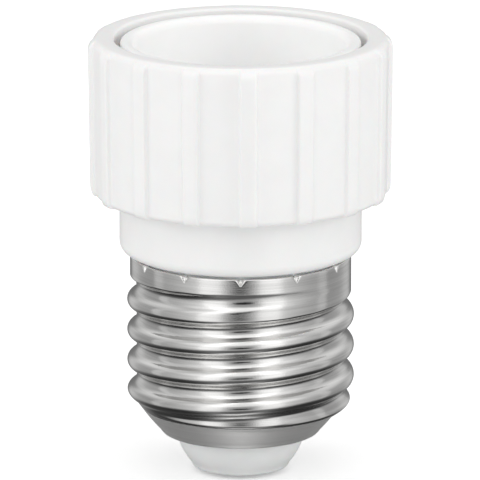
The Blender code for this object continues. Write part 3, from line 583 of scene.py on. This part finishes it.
@dataclass
class ScrewCap(Part):
    """Rolled Edison cap: plain band with stakes, rolled thread and convex cone."""

    crest_radius: float = 13.2 * MM
    root_radius: float = 12.1 * MM
    pitch: float = 25.4 / 7 * MM
    run_in: float = 0.45
    groove_start: float = 0.1
    sheet: float = 0.3 * MM
    band_radius: float = 12.86 * MM
    groove_z: float = 24.1 * MM
    band_z: float = 25.95 * MM
    band_roll: float = 0.25 * MM
    foot_z: float = 4.7 * MM
    cone_height: float = 4.0 * MM
    cone_top: float = 12.2 * MM
    cone_foot: float = 9.0 * MM
    cone_bulge: float = 0.22 * MM
    cone_blend: float = 2.4 * MM
    cone_tilt: float = 0.4 * MM
    cone_lead: float = 0.8
    ledge_z: float = 7.8 * MM
    ledge_rise: float = 0.3 * MM
    ledge_round: float = 0.4 * MM
    ledge_radius: float = 12.15 * MM
    ledge_height: float = 4.0
    ledge_reach: float = math.radians(65)
    ledge_fade: float = 2.0
    corner: float = 0.4 * MM
    corner_shape: tuple[Point, ...] = ((0.18, 0.6), (0.5, 0.25), (0.85, 0.07), (1.25, 0.0))
    hole_radius: float = 7.75 * MM
    stakes: int = 12
    stake_width: float = 0.5 * MM
    stake_depth: float = 0.4 * MM
    stake_start: float = 0.12 * MM
    stake_length: float = 0.75 * MM
    stake_run: float = 0.5
    stake_flank: float = 0.8
    columns: int = 20
    evenness: float = 0.3
    roll_rows: int = 5
    band_rows: int = 12
    pitch_rows: int = 26
    cone_rows: int = 40
    sharp: float = math.radians(70)

    def _cone(self, z: float) -> float:
        """Outer radius of the plain cone at a height."""
        share = (z - self.foot_z) / self.cone_height
        return blend(self.cone_foot, self.cone_top, share) + 4.0 * self.cone_bulge * share * (1.0 - share)

    def _profile(self, phase: float) -> float:
        """Height of the rolled thread over its root, from arcs that meet halfway up the flank.

        Args:
            phase: Share of a pitch from a groove's middle.

        Returns:
            The height as a share of the thread's depth.
        """
        depth = self.crest_radius - self.root_radius
        span = self.pitch / 4
        radius = (4 * span**2 + depth**2) / (4 * depth)
        from_crest = abs(phase - 0.5) * self.pitch
        if from_crest < span:
            return 1.0 - (radius - math.sqrt(radius**2 - from_crest**2)) / depth
        from_root = 2 * span - from_crest
        return (radius - math.sqrt(radius**2 - from_root**2)) / depth

    def _thread(self, turn: float, z: float) -> float:
        """Radius of the threaded wall.

        Args:
            turn: Share of a turn, counted downwards from +X by the front.
            z: Height.

        Returns:
            The outer radius there.
        """
        phase = (self.groove_z - z) / self.pitch - turn
        groove = math.floor(phase)
        phase -= groove
        travel = turn + groove
        nearest = travel if phase < 0.5 else travel + 1.0
        root = blend(self.band_radius, self.root_radius, ease((nearest - self.groove_start) / self.run_in))
        crest = blend(self.band_radius, self.crest_radius, ease(travel / self.run_in))
        radius = min(blend(root, self.crest_radius, self._profile(phase)), crest)
        low = self.foot_z + self.cone_height - self.cone_lead * self.cone_blend
        low += self.cone_tilt * (1.0 - math.cos(math.tau * turn))
        return blend(self._cone(z), radius, ease((z - low) / self.cone_blend))

    def _ledge(self, angle: float, z: float, radius: float) -> float:
        """Brings the wall out at the front, where the last groove runs out over the cone.

        Args:
            angle: Angle round the axis.
            z: Height.
            radius: The wall's radius there.

        Returns:
            The radius with the ledge.
        """
        off = abs((angle - FRONT + math.pi) % math.tau - math.pi) / self.ledge_reach
        low = self.ledge_z + self.ledge_rise * min(off, 1.0) ** 2
        if off >= 1.0 or not low < z < low + self.ledge_height * self.ledge_round:
            return radius
        under = max(0.0, 1.0 - (z - low) / self.ledge_round)
        edge = self.ledge_radius - self.ledge_round * (1.0 - math.sqrt(1.0 - under**2))
        return blend(radius, max(radius, edge), ease(self.ledge_fade * (1.0 - off)))

    def _stake(self, angle: float, z: float) -> float:
        """Depth of the nearest stake's dent, a V that starts at the band's edge.

        Args:
            angle: Angle round the axis.
            z: Height.

        Returns:
            How far the wall is pressed in there.
        """
        period = math.tau / self.stakes
        off = (angle - FRONT + period / 2) % period - period / 2
        down = max((self.band_z - z - self.stake_start) / self.stake_length, 0.0)
        if down >= 1.0:
            return 0.0
        across = abs(off) * self.band_radius / (self.stake_width * (1.0 - down))
        flank = max(0.0, 1.0 - across) ** self.stake_flank
        return self.stake_depth * (1.0 - down) ** self.stake_run * flank

    def _outline(self, angle: float) -> list[Point]:
        """The wall's outer side from the band's rolled edge to the hole at the foot.

        Args:
            angle: Angle round the axis.

        Returns:
            Points of (radius, z).
        """
        turn = -angle / math.tau % 1.0
        roll = (self.band_radius - self.band_roll, self.band_z - self.band_roll)
        rounded = arc(roll, self.band_roll, 90, 0, self.roll_rows)
        points = [(radius - self._stake(angle, z), z) for radius, z in rounded]
        top = self.groove_z + self.pitch / 4
        heights = [blend(roll[1], top, i / self.band_rows) for i in range(1, self.band_rows)]
        cone_z = self.foot_z + self.cone_height
        count = round((top - cone_z) / self.pitch * self.pitch_rows)
        heights += [blend(top, cone_z, i / count) for i in range(count + 1)]
        low = self.foot_z + self.corner
        heights += [blend(cone_z, low, i / self.cone_rows) for i in range(1, self.cone_rows + 1)]
        for z in heights:
            radius = self._ledge(angle, z, self._thread(turn, z))
            points.append((radius - self._stake(angle, z), z))
        foot = self._cone(low)
        for inward, up in self.corner_shape:
            points.append((foot - inward * self.corner, self.foot_z + up * self.corner))
        return [*points, (self.hole_radius, self.foot_z)]

    def build(self) -> Object:
        """Builds the cap, with columns closer together at the stakes.

        Returns:
            The cap.
        """
        period = math.tau / self.stakes
        angles = []
        for stake in range(self.stakes):
            for step in range(self.columns):
                share = 2 * step / self.columns - 1
                place = self.evenness * share + (1 - self.evenness) * share**3
                angles.append(FRONT + period * (stake + place / 2))
        outlines = []
        for angle in angles:
            outer = self._outline(angle)
            outlines.append(outer + offset_path(outer, self.sheet)[::-1])
        mesh = RingMesh("screw_cap")
        for row in range(len(outlines[0])):
            mesh.add(polar(line[row][0], angle, line[row][1]) for angle, line in zip(angles, outlines))
        piece = self.dress(mesh.close(), Slot.NICKEL, "screw_shell", sharp=self.sharp)
        # The cone below the ledge takes the lighter satin nickel, partly painted light that lifts its dark
        # reflection.
        piece.data.materials.append(self.materials[Slot.NICKEL_SATIN_PAINTED_LIGHT])
        for face in piece.data.polygons:
            face.material_index = int(face.center.z < self.ledge_z)
        return piece


@dataclass
class Housing(Part):
    """Ribbed collar, neck and hidden skirt, as one moulding."""

    collar_radius: float = 17.65 * MM
    collar_z: float = 33.05 * MM
    rim_z: float = 51.65 * MM
    taper: float = 0.2 * MM
    rim_round: float = 0.8 * MM
    lip_round: float = 0.35 * MM
    bore_radius: float = 14.68 * MM
    shelf_z: float = 36.25 * MM
    ribs: int = 16
    rib_height: float = 0.45 * MM
    rib_top: float = 1.65 * MM
    rib_flank: float = 0.35 * MM
    rib_phase: float = math.radians(3.0)
    rib_fade: float = 1.4 * MM
    wall_foot: float = 0.7 * MM
    rib_foot: float = 1.2 * MM
    rib_draw: float = 0.6 * MM
    neck_radius: float = 14.07 * MM
    neck_z: float = 26.25 * MM
    neck_foot: float = 1.3 * MM
    neck_wall: float = 2.05 * MM
    seat_radius: float = 12.26 * MM
    skirt_radius: float = 11.5 * MM
    skirt_wall: float = 1.5 * MM
    skirt_z: float = 20.55 * MM
    seat_z: float = 24.25 * MM
    recess: float = 0.8 * MM
    recess_low: float = 24.15 * MM
    recess_high: float = 25.85 * MM
    rows: int = 10
    columns: int = 8

    def _columns(self) -> list[Point]:
        """Angles round the collar with the share of a rib's height at each.

        Returns:
            Pairs of (angle, share), closer together on the ribs.
        """
        period = math.tau / self.ribs
        edge, foot = self.rib_top / 2, self.rib_top / 2 + self.rib_flank
        shares = [i / self.columns for i in range(self.columns + 1)]
        flank = [(blend(foot, edge, share), ease(share)) for share in shares]
        rib = [(-place, share) for place, share in flank]
        rib += [(-edge / 2, 1.0), (0.0, 1.0), (edge / 2, 1.0)]
        rib += flank[::-1]
        gap = period * self.collar_radius - 2 * foot
        rib += [(foot + gap * share, 0.0) for share in shares[1:-1]]
        starts = [FRONT + self.rib_phase + i * period for i in range(self.ribs)]
        return [(start + place / self.collar_radius, share) for start in starts for place, share in rib]

    def _outlines(self) -> tuple[list[Point], list[Point]]:
        """Outlines of the collar's outside from the rim down.

        Returns:
            The outline on the wall and the one on a rib, with as many points each.
        """
        wall_radius = self.collar_radius - self.rib_height
        start = wall_radius - self.rim_round
        wall, rib = [], []
        for over, up in quarter(self.rows):
            wall.append((start + self.rim_round * over, self.rim_z - self.rim_round * (1 - up)))
            out = (self.rim_round + self.rib_height) * over
            rib.append((start + out, self.rim_z - self.rib_fade * (1 - up)))
        foot = wall_radius - self.taper
        centre = (foot - self.wall_foot, self.collar_z + self.wall_foot)
        wall += arc(centre, self.wall_foot, 0, -90, self.rows)
        edge = foot + self.rib_height
        for down, out in quarter(self.rows - 1):
            drop = self.rib_foot * down
            rib.append((edge - self.rib_draw * (1 - out), self.collar_z + self.rib_foot - drop))
        return wall, [*rib, (foot - self.wall_foot, self.collar_z)]

    def _inside(self) -> list[Point]:
        """The neck, the skirt and the bore, from the collar's underside back up to the rim.

        Returns:
            Points of (radius, z).
        """
        neck, seat, skirt = self.neck_radius, self.seat_radius, self.skirt_radius
        path = [(neck, self.collar_z)]
        centre = (neck - self.neck_foot, self.neck_z + self.neck_foot)
        path += arc(centre, self.neck_foot, 0, -90, self.rows)
        path += [
            (seat, self.neck_z), (seat, self.recess_high),
            (seat - self.recess, self.recess_high), (seat - self.recess, self.recess_low),
            (skirt, self.seat_z), (skirt, self.skirt_z),
            (skirt - self.skirt_wall, self.skirt_z), (skirt - self.skirt_wall, self.neck_z),
            (neck - self.neck_wall, self.neck_z + self.neck_wall),
            (neck - self.neck_wall, self.shelf_z), (self.bore_radius, self.shelf_z),
        ]
        centre = (self.bore_radius + self.lip_round, self.rim_z - self.lip_round)
        return path + arc(centre, self.lip_round, 180, 90, steps=6)

    def build(self) -> Object:
        """Builds the housing.

        Returns:
            The housing.
        """
        columns = self._columns()
        mesh = RingMesh("housing")
        for (wall_r, wall_z), (rib_r, rib_z) in zip(*self._outlines()):
            mesh.add(
                polar(blend(wall_r, rib_r, share), angle, blend(wall_z, rib_z, share))
                for angle, share in columns
            )
        count = len(columns) // 2
        for radius, z in self._inside():
            mesh.add(polar(radius, columns[0][0] + math.tau * i / count, z) for i in range(count))
        return self.dress(mesh.close(), Slot.HOUSING, "outer_body")


@dataclass
class Tip(Part):
    """White moulding under the cap."""

    foot_z: float = 0.45 * MM
    cap_z: float = 4.7 * MM
    foot_radius: float = 5.7 * MM
    neck_radius: float = 7.45 * MM
    bulge: float = 0.38 * MM
    edge: float = 0.45 * MM
    edge_end: float = -12.0
    chamfer: float = 0.1 * MM
    recess_radius: float = 2.7 * MM
    recess_z: float = 1.25 * MM
    bore_radius: float = 1.55 * MM
    web_z: float = 3.3 * MM
    cup_radius: float = 5.6 * MM
    flange_z: float = 5.3 * MM
    columns: int = 128
    rows: int = 20

    def build(self) -> Object:
        """Builds the tip.

        Returns:
            The tip.
        """
        inner = self.foot_radius - self.edge
        path = arc((inner, self.foot_z + self.edge), self.edge, -90, self.edge_end, steps=8)
        for step in range(1, self.rows + 1):
            share = step / self.rows
            z = blend(self.foot_z + self.edge, self.cap_z, share)
            radius = blend(self.foot_radius, self.neck_radius, share)
            path.append((radius + 4 * self.bulge * share * (1 - share), z))
        path += [
            (self.neck_radius, self.flange_z), (self.cup_radius, self.flange_z),
            (self.cup_radius, self.web_z), (self.bore_radius, self.web_z),
            (self.bore_radius, self.recess_z), (self.recess_radius, self.recess_z),
            (self.recess_radius, self.foot_z + self.chamfer),
            (self.recess_radius + self.chamfer, self.foot_z),
        ]
        return self.dress(turned("tip", path, self.columns), Slot.TIP, "tip_insulator")


@dataclass
class Contact(Part):
    """Riveted centre contact at the tip."""

    face_radius: float = 1.2 * MM
    head_radius: float = 2.4 * MM
    head: float = 0.95 * MM
    dome: float = 0.7
    stem_radius: float = 1.25 * MM
    flare_z: float = 4.3 * MM
    flare_radius: float = 2.0 * MM
    top_z: float = 4.7 * MM
    bore_radius: float = 0.75 * MM
    bore_z: float = 1.25 * MM
    columns: int = 64
    rows: int = 12

    def build(self) -> Object:
        """Builds the contact.

        Returns:
            The contact.
        """
        path = []
        for over, up in quarter(self.rows):
            radius = blend(self.face_radius, self.head_radius, over)
            path.append((radius, self.dome * self.head * (1 - up)))
        path += [
            (self.head_radius, self.head), (self.stem_radius, self.head),
            (self.stem_radius, self.flare_z), (self.flare_radius, self.flare_z),
            (self.flare_radius, self.top_z), (self.bore_radius, self.top_z),
            (self.bore_radius, self.bore_z),
        ]
        piece = turned("tip_contact", path, self.columns, capped=True)
        return self.dress(piece, Slot.NICKEL, "centre_contact")


@dataclass
class SocketInsert(Part):
    """Inner cup with its slotted floor, screw seats and the contact block under it."""

    radius: float = 13.95 * MM
    cup_radius: float = 12.3 * MM
    edge: float = 0.35 * MM
    lip: float = 0.9 * MM
    top_z: float = 51.2 * MM
    floor_z: float = 42.15 * MM
    ceiling_z: float = 38.65 * MM
    foot_z: float = 36.55 * MM
    middle_z: float = 40.4 * MM
    block_z: float = 33.2 * MM
    block_radius: float = 11.6 * MM
    block_half: float = 6.98 * MM
    tube_z: float = 36.25 * MM
    tube_radius: float = 2.0 * MM
    screw_place: float = 9.4 * MM
    shaft_radius: float = 1.45 * MM
    seat_radius: float = 2.6 * MM
    seat_z: float = 40.05 * MM
    pin_place: float = 5.0 * MM
    entry_radius: float = 3.0 * MM
    slot_half: float = 1.8 * MM
    twist: float = 25.0
    pocket_radius: float = 10.5 * MM
    pocket_side: float = 1.75 * MM
    pocket_far: float = 4.913 * MM
    pocket_near: float = 3.0 * MM
    pilot_radius: float = 1.1 * MM
    pilot_z: float = 37.7 * MM
    over: float = 0.3 * MM
    soft_edge: float = 0.15 * MM
    columns: int = 176

    def _keyhole(self) -> list[Point]:
        """Outline of the right-hand pin's entry hole and slot.

        Returns:
            Points of (x, y).
        """
        place, entry, half = self.pin_place, self.entry_radius, self.slot_half
        near, far = (
            math.degrees(math.acos((radius**2 - place**2 - entry**2) / (2 * place * entry)))
            for radius in (place - half, place + half)
        )
        outline = arc((place, 0.0), entry, -far, 360 - near, steps=48)
        start = math.degrees(math.atan2(outline[-1][1], outline[-1][0]))
        outline += arc((0.0, 0.0), place - half, start, -self.twist, steps=10)[1:]
        end = polar(place, -math.radians(self.twist), 0.0)
        outline += arc((end.x, end.y), half, 180 - self.twist, 360 - self.twist, steps=24)[1:]
        finish = math.degrees(math.atan2(outline[0][1], outline[0][0]))
        return outline + arc((0.0, 0.0), place + half, -self.twist, finish, steps=10)[1:-1]

    def _pocket(self) -> list[Point]:
        """Outline of the room for the right-hand pin's head and contact.

        Returns:
            Points of (x, y).
        """
        low = -math.degrees(math.asin(self.pocket_far / self.pocket_radius))
        high = math.degrees(math.asin(self.pocket_near / self.pocket_radius))
        side = self.pocket_side
        round_side = arc((0.0, 0.0), self.pocket_radius, low, high, steps=12)
        return [(side, -self.pocket_far), *round_side, (side, self.pocket_near)]

    def _pair(self, radius: float) -> list[list[Point]]:
        """Outlines of a radius round the two screws."""
        front = arc((0.0, -self.screw_place), radius, 0, 360, steps=40)[:-1]
        return [front, mirrored(front)]

    def build(self) -> Object:
        """Builds the insert.

        Returns:
            The insert.
        """
        cup, top = self.cup_radius, self.top_z
        path = arc((cup - self.edge, self.floor_z + self.edge), self.edge, -90, 0, steps=6)
        path += arc((cup + self.lip, top - self.lip), self.lip, 180, 90, steps=14)
        path += arc((self.radius - self.edge, top - self.edge), self.edge, 90, 0, steps=6)
        path += [(self.radius, self.foot_z), (cup, self.foot_z), (cup, self.ceiling_z)]
        piece = turned("lamp_cup", path, self.columns, capped=True)
        low = math.degrees(math.asin(self.block_half / self.block_radius))
        block = arc((0.0, 0.0), self.block_radius, -low, low, steps=24)
        combine(piece, prism([block + mirrored(block)], self.block_z, self.middle_z), "UNION")
        combine(piece, prism(self._pair(self.tube_radius), self.tube_z, self.middle_z), "UNION")
        pocket, keyhole, over = self._pocket(), self._keyhole(), self.over
        pilot = arc((0.0, 0.0), self.pilot_radius, 0, 360, steps=24)[:-1]
        for outlines, foot, head in (
            ([pocket, mirrored(pocket)], self.block_z - over, self.ceiling_z),
            ([pilot], self.block_z - over, self.pilot_z),
            ([keyhole, mirrored(keyhole)], self.ceiling_z - over, self.floor_z + over),
            (self._pair(self.shaft_radius), self.tube_z - over, self.floor_z + over),
            (self._pair(self.seat_radius), self.seat_z, self.floor_z + over),
        ):
            combine(piece, prism(outlines, foot, head), "DIFFERENCE")
        soften(piece, self.floor_z, self.soft_edge)
        self.dress(piece, Slot.HOUSING, "socket_insert")
        # The cup shows the lighter copy of the housing's white: painted light for the shade inside the cup.
        piece.data.materials[0] = self.materials[Slot.HOUSING_PAINTED_LIGHT]
        return piece


@dataclass
class InsertScrews(Part):
    """The two pan-head screws in the cup's floor."""

    place: float = 9.4 * MM
    tip_z: float = 31.35 * MM
    length: float = 9.0 * MM
    radius: float = 1.15 * MM
    point: float = 0.2
    lead: float = 0.6
    lead_taper: float = 0.5
    plain: float = 2.25 * MM
    head: float = 1.5 * MM
    head_radius: float = 2.3 * MM
    head_side: float = 0.35
    head_flat: float = 0.45
    recess_half: float = 0.25 * MM
    recess_arm: float = 0.55
    recess_depth: float = 0.7 * MM
    thread_pitch: float = 0.8 * MM
    thread_crest: float = 0.4
    thread_depth: float = 0.2 * MM
    columns: int = 48
    rows: int = 12

    def _screw(self, name: str) -> Object:
        """Builds one screw on the axis.

        Args:
            name: Name of the object.

        Returns:
            The screw.
        """
        root = self.radius - self.thread_depth
        path = [(self.point * self.radius, 0.0)]
        turns = int((self.length - self.plain) / self.thread_pitch)
        for turn in range(turns):
            z = self.lead * self.radius + turn * self.thread_pitch
            taper = min(1.0, self.lead_taper + z / (4 * self.radius))
            path += [(root * taper, z), (self.radius * taper, z + self.thread_crest * self.thread_pitch)]
        path += [
            (root, self.lead * self.radius + turns * self.thread_pitch),
            (root, self.length),
            (self.head_radius, self.length),
        ]
        low = self.head_side * self.head
        for up, over in quarter(self.rows):
            radius = blend(self.head_flat * self.head_radius, self.head_radius, over)
            path.append((radius, self.length + low + (self.head - low) * up))
        piece = turned(name, path, self.columns, capped=True)
        arm, half = self.recess_arm * self.head_radius, self.recess_half
        cross = [(arm, -half), (arm, half), (half, half), (half, arm), (-half, arm), (-half, half)]
        top = self.length + self.head
        cutter = prism([cross + mirrored(cross)], top - self.recess_depth, top + self.head)
        combine(piece, cutter, "DIFFERENCE")
        return piece

    def build(self) -> list[Object]:
        """Builds both screws and puts them in their seats.

        Returns:
            The screws.
        """
        pieces = []
        for node, side in (("insert_screw_front", -1), ("insert_screw_back", 1)):
            piece = self._screw(node + "_fine")
            piece.data.transform(Matrix.Translation((0.0, side * self.place, self.tip_z)))
            pieces.append(self.dress(piece, Slot.ZINC, node))
        return pieces


@dataclass
class KeptParts(Part):
    """CAD nodes whose shape is right, which only get their finish."""

    slots: dict[Slot, tuple[str, ...]] = field(
        default_factory=lambda: {
            Slot.FIBRE: ("base_plate",),
            Slot.ZINC: ("plate_screw",),
            Slot.NICKEL: ("contact_left", "contact_right"),
            Slot.BRASS: (
                "contact_rivet_left", "contact_rivet_right",
                "terminal_left", "terminal_right", "contact_washer",
            ),
            Slot.COPPER: ("centre_lead", "shell_lead"),
            Slot.SILICONE: ("centre_lead_sleeve", "shell_lead_sleeve"),
        }
    )

    def build(self) -> list[Object]:
        """Gives each node the material of its slot.

        Returns:
            The dressed nodes.
        """
        nodes = [(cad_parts[name], slot) for slot, names in self.slots.items() for name in names]
        for node, slot in nodes:
            node.data.materials.clear()
            node.data.materials.append(self.materials[slot])
        return [node for node, slot in nodes]


@dataclass
class Surround:
    """The world: white to the eye, even as a light, and in reflections a studio in bands of tone.

    The bands hold pairs of (degrees, tone). Those of around, broad and beside are counted from the
    front, those of upward and beneath from the horizon.
    """

    ambient: float = 0.91
    around: tuple[Point, ...] = (
        (0, 0.3), (8, 0.34), (16, 0.55), (26, 0.95), (36, 1.0),
        (48, 0.66), (64, 0.5), (86, 0.4), (92, 0.5), (98, 0.5),
        (105, 0.32), (125, 0.36), (145, 0.5), (165, 0.18), (180, 0.14),
    )
    broad: tuple[Point, ...] = (
        (0, 0.8), (16, 0.95), (31, 1.25), (47, 0.9),
        (64, 0.7), (86, 0.5), (120, 0.6), (180, 0.9),
    )
    upward: tuple[Point, ...] = (
        (-90, 1.0), (-80, 0.85), (-70, 0.35), (-58, 0.14), (-44, 0.14), (-32, 0.4),
        (-22, 0.95), (-10, 1.15), (10, 1.2), (40, 1.25), (90, 1.25),
    )
    beside: tuple[Point, ...] = ((0, 0.0), (42, 0.0), (72, 1.0), (150, 1.0), (180, 0.4))
    beneath: tuple[Point, ...] = (
        (-90, 0.0), (-82, 0.1), (-68, 1.0), (-30, 1.0), (-16, 0.0), (90, 0.0),
    )
    shade: float = 0.5
    steep: Point = (14.0, 42.0)
    spot_elevation: float = -6.0
    spot_width: float = 12.0
    spot_height: float = 9.0
    spot_edge: Point = (0.3, 1.5)
    spot_tone: float = 0.04

    def _spot(self, tree: Tree, azimuth: Socket, elevation: Socket) -> Socket:
        """A small dark place straight in front of the object.

        Args:
            tree: The tree to build in.
            azimuth: Degrees from the front.
            elevation: Degrees above the horizon.

        Returns:
            A factor, 1 away from the spot.
        """
        across = tree.math("DIVIDE", azimuth, self.spot_width)
        above = tree.math("DIVIDE", tree.math("SUBTRACT", elevation, self.spot_elevation), self.spot_height)
        away = tree.math("ADD", tree.math("MULTIPLY", across, across), tree.math("MULTIPLY", above, above))
        return tree.remap(away, self.spot_edge, (self.spot_tone, 1.0), "SMOOTHSTEP")

    def build(self) -> None:
        """Builds the world."""
        world = bpy.data.worlds.new("surround")
        world.use_nodes = True
        bpy.context.scene.world = world
        tree = Tree(world.node_tree)
        x, y, z = tree.node("SeparateXYZ", {0: tree.node("TexCoord").outputs["Generated"]}).outputs
        turn = tree.math("ARCTAN2", x, tree.math("MULTIPLY", y, -1.0))
        azimuth = tree.math("ABSOLUTE", tree.math("DEGREES", turn))
        level = tree.math("ADD", tree.math("MULTIPLY", x, x), tree.math("MULTIPLY", y, y))
        elevation = tree.math("DEGREES", tree.math("ARCTAN2", z, tree.math("SQRT", level)))
        steep = tree.remap(tree.math("ABSOLUTE", elevation), self.steep, kind="SMOOTHSTEP")
        tone = tree.mix(steep, tree.curve(azimuth, self.around), tree.curve(azimuth, self.broad))
        tone = tree.math("MULTIPLY", tone, tree.curve(elevation, self.upward))
        tone = tree.math("MULTIPLY", tone, self._spot(tree, azimuth, elevation))
        low_sides = tree.math(
            "MULTIPLY", tree.curve(azimuth, self.beside), tree.curve(elevation, self.beneath)
        )
        shaded = tree.math("ADD", tree.math("MULTIPLY", low_sides, -self.shade), 1.0)
        tone = tree.math("MULTIPLY", tone, shaded)
        plain = tree.mix(tree.seen(), self.ambient, 1.0)
        strength = tree.mix(tree.node("LightPath").outputs["Is Glossy Ray"], plain, tone)
        tree.feed(world.node_tree.nodes["Background"], {"Color": WHITE, "Strength": strength})


@dataclass
class Studio:
    """Floor, soft lamps, reflected surround and camera."""

    floor_size: float = 6.0
    floor_tone: float = 0.85
    floor_rough: float = 0.9
    floor_lift: float = 0.3
    lamps: tuple[tuple[float, float, float, float], ...] = (
        (-84.0, 20.0, 0.4, 1.8),
        (-2.0, 38.0, 1.0, 1.8),
        (78.0, 20.0, 0.4, 1.9),
    )
    lamp_distance: float = 1.2
    target: Vector = field(default_factory=lambda: Vector((0.0, 0.0, 27.4 * MM)))
    elevation: float = 14.1
    distance: float = 1.1
    lens: float = 710.0
    sensor: float = 36.0
    shift: float = -0.6 / 480
    clip: Point = (0.01, 20.0)

    def _toward(self, azimuth: float, elevation: float, distance: float) -> Vector:
        """Point off the target, so many degrees to the right of the front and above the horizon."""
        a, e = FRONT + math.radians(azimuth), math.radians(elevation)
        return self.target + distance * polar(math.cos(e), a, math.sin(e))

    def _facing(self, thing: Object) -> None:
        """Turns an object's -Z axis to the target."""
        thing.rotation_euler = (self.target - thing.location).to_track_quat("-Z", "Y").to_euler()

    def _floor(self) -> None:
        """Builds the pale floor."""
        data = bpy.data.meshes.new("floor")
        half = self.floor_size / 2
        corners = [(-half, -half, 0), (half, -half, 0), (half, half, 0), (-half, half, 0)]
        data.from_pydata(corners, [], [(0, 1, 2, 3)])
        material = bpy.data.materials.new("floor")
        material.use_nodes = True
        tree = Tree(material.node_tree)
        surface = {
            "Base Color": (self.floor_tone, self.floor_tone, self.floor_tone, 1.0),
            "Roughness": self.floor_rough,
            "Specular IOR Level": 0.0,
            "Emission Color": WHITE,
            "Emission Strength": tree.math("MULTIPLY", tree.seen(), self.floor_lift),
        }
        tree.feed(material.node_tree.nodes["Principled BSDF"], surface)
        data.materials.append(material)
        floor = placed("floor", data)
        floor.visible_glossy = False

    def _lamps(self) -> None:
        """Adds the soft lamps."""
        for i, (azimuth, elevation, size, power) in enumerate(self.lamps):
            data = bpy.data.lights.new(f"lamp_{i}", "AREA")
            data.size, data.energy = size, power
            lamp = placed(f"lamp_{i}", data)
            lamp.location = self._toward(azimuth, elevation, self.lamp_distance)
            self._facing(lamp)
            lamp.visible_glossy = False

    def _camera(self) -> None:
        """Places the camera where the photograph was taken from."""
        data = bpy.data.cameras.new("camera")
        data.lens, data.sensor_width, data.shift_x = self.lens, self.sensor, self.shift
        data.clip_start, data.clip_end = self.clip
        camera = placed("camera", data)
        camera.location = self._toward(0.0, self.elevation, self.distance)
        self._facing(camera)
        bpy.context.scene.camera = camera

    def build(self) -> None:
        """Builds the whole studio."""
        bpy.context.scene.view_settings.view_transform = "Standard"
        self._camera()
        self._floor()
        self._lamps()
        Surround().build()


def clear_startup() -> None:
    """Removes what Blender's startup scene holds."""
    for name in ("Cube", "Light", "Camera"):
        if name in bpy.data.objects:
            bpy.data.objects.remove(bpy.data.objects[name], do_unlink=True)


def main() -> None:
    """Builds every sub-assembly, then the studio."""
    logging.basicConfig(level=logging.INFO, format="%(name)s: %(message)s")
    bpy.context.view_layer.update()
    clear_startup()
    effects = Effects()
    materials = {finish.slot: finish.material(effects) for finish in FINISHES}
    parts = (Housing, SocketInsert, ScrewCap, Tip, Contact)
    for piece in (*(part(materials).build() for part in parts), *InsertScrews(materials).build()):
        log.info("%s: %d faces", piece.name, len(piece.data.polygons))
    for node in KeptParts(materials).build():
        log.info("%s: kept", node.name)
    Studio().build()


if __name__ == "__main__":
    main()
